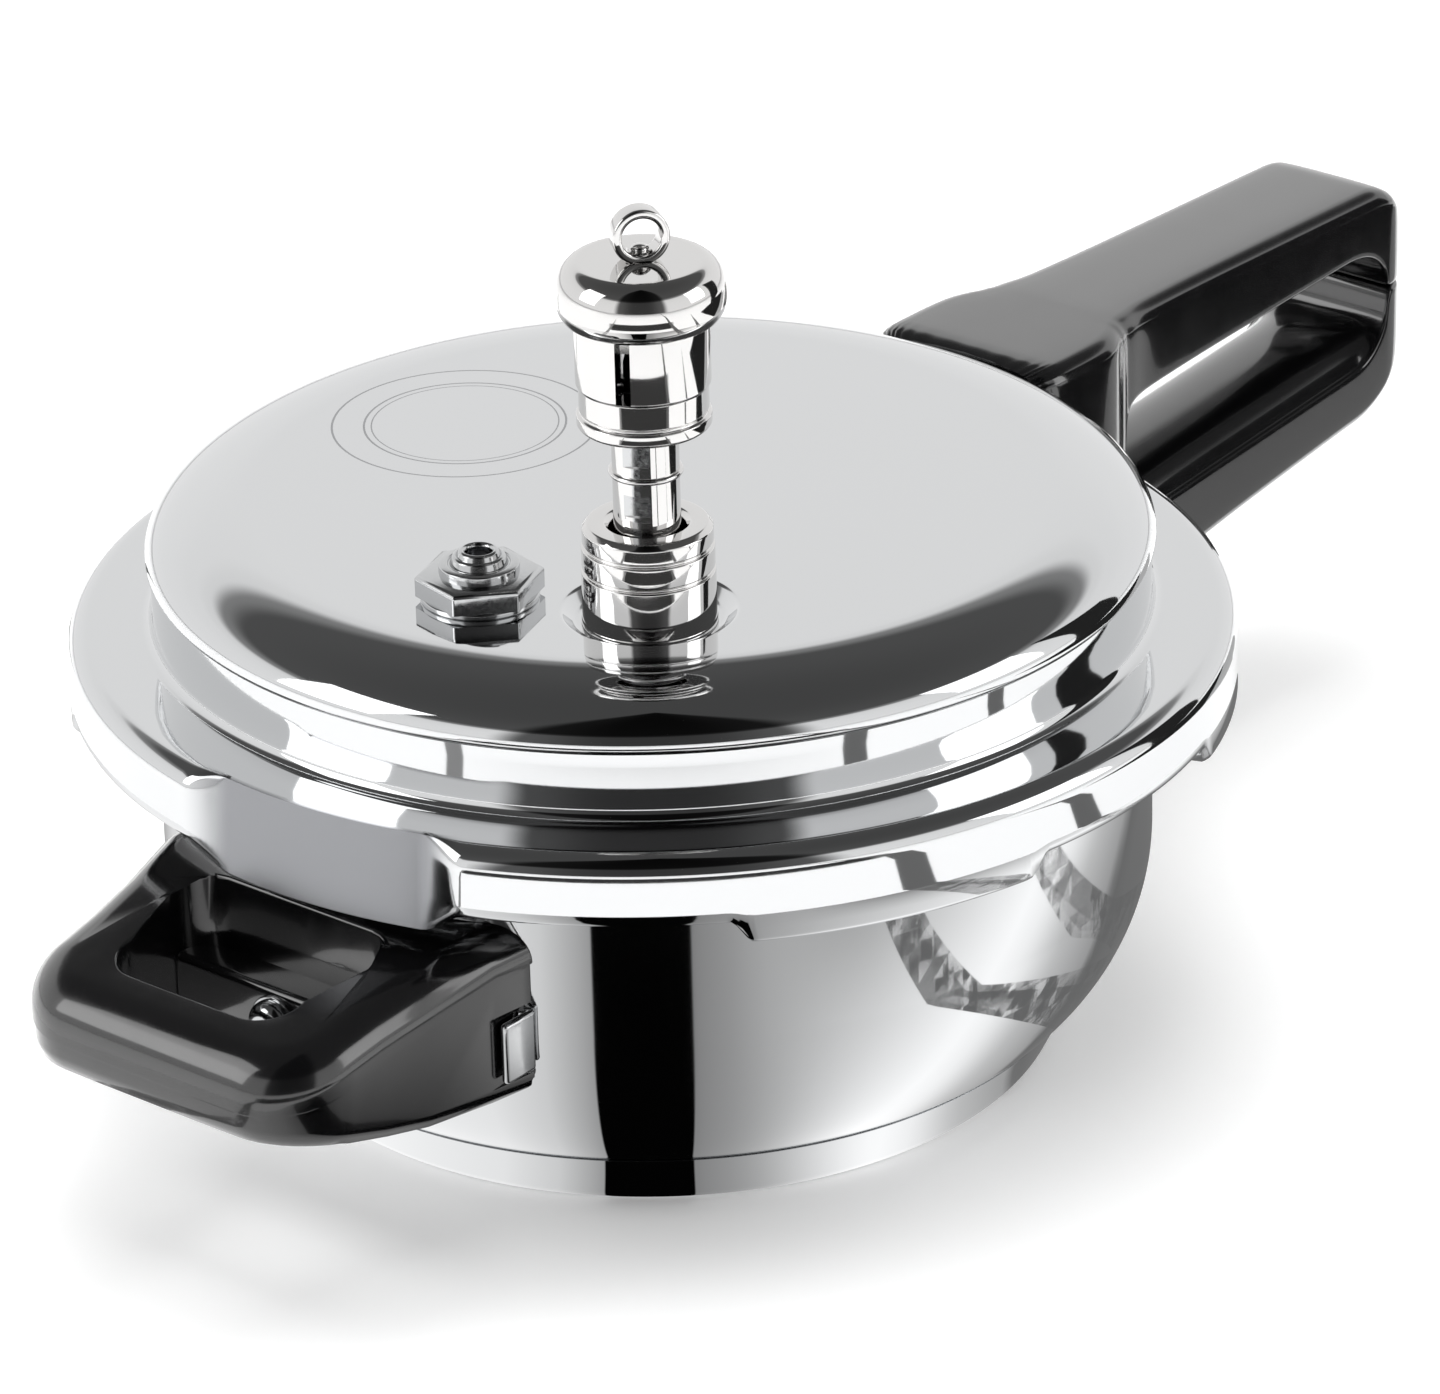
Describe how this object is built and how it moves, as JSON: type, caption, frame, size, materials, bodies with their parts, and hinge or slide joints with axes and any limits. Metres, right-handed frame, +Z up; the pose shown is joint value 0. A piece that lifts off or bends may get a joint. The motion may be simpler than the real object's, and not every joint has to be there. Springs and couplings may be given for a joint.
{
  "type": "stovetop pressure cooker",
  "caption": "Low stovetop pressure pan with an outer bayonet lid, looped long handle, helper handle, lift-off weight valve and safety plug.",
  "frame": {"origin": "centre of the base's flat underside, on the pan's axis", "axes": "+Z up, +X along the long handle"},
  "size_m": [0.394, 0.2342, 0.2021],
  "materials": {
    "polished_steel": "mirror polished",
    "satin_steel": "satin",
    "bright_plate": "bright nickel plated",
    "black_phenolic": "glossy moulded",
    "seal_rubber": "matte",
    "disc_aluminium": "raw",
    "fusible_alloy": "dull cast"
  },
  "bodies": {
    "pan": {"pan_shell": "polished_steel", "heat_disc": "disc_aluminium", "base_cap": "polished_steel", "pan_handle_bracket": "satin_steel", "pan_handle": "black_phenolic", "pan_handle_screw": "satin_steel", "helper_bracket": "satin_steel", "helper_handle": "black_phenolic", "helper_screw": "satin_steel", "helper_washer": "satin_steel"},
    "lid": {"lid_shell": "polished_steel", "gasket": "seal_rubber", "lid_handle_bracket": "satin_steel", "lid_handle": "black_phenolic", "lid_handle_screws": "satin_steel", "vent_housing": "bright_plate", "vent_pipe": "bright_plate", "vent_snap_ring": "satin_steel", "vent_seal": "seal_rubber", "vent_nut": "satin_steel", "safety_plug": "satin_steel", "safety_washer": "satin_steel", "fusible_core": "fusible_alloy", "safety_seal": "seal_rubber", "safety_nut": "satin_steel"},
    "weight_pin": {"seat_pin": "satin_steel", "pin_clip": "satin_steel"},
    "weight": {"weight_sleeve": "bright_plate", "weight_cap": "bright_plate", "ring_stud": "bright_plate", "finger_ring": "bright_plate"}
  },
  "joints": [
    {"name": "lid_turn", "type": "hinge", "parent": "pan", "child": "lid", "pos_m": [0, 0, 0], "axis": [0, 0, 1], "range_deg": [0, 30]},
    {"name": "weight_lift", "type": "slide", "parent": "lid", "child": "weight_pin", "axis": [0, 0, 1], "range_m": [0, 0.03]},
    {"name": "weight_spin", "type": "hinge", "parent": "weight_pin", "child": "weight", "pos_m": [-0.04458, -0.03741, 0], "axis": [0, 0, 1], "continuous": true}
  ]
}
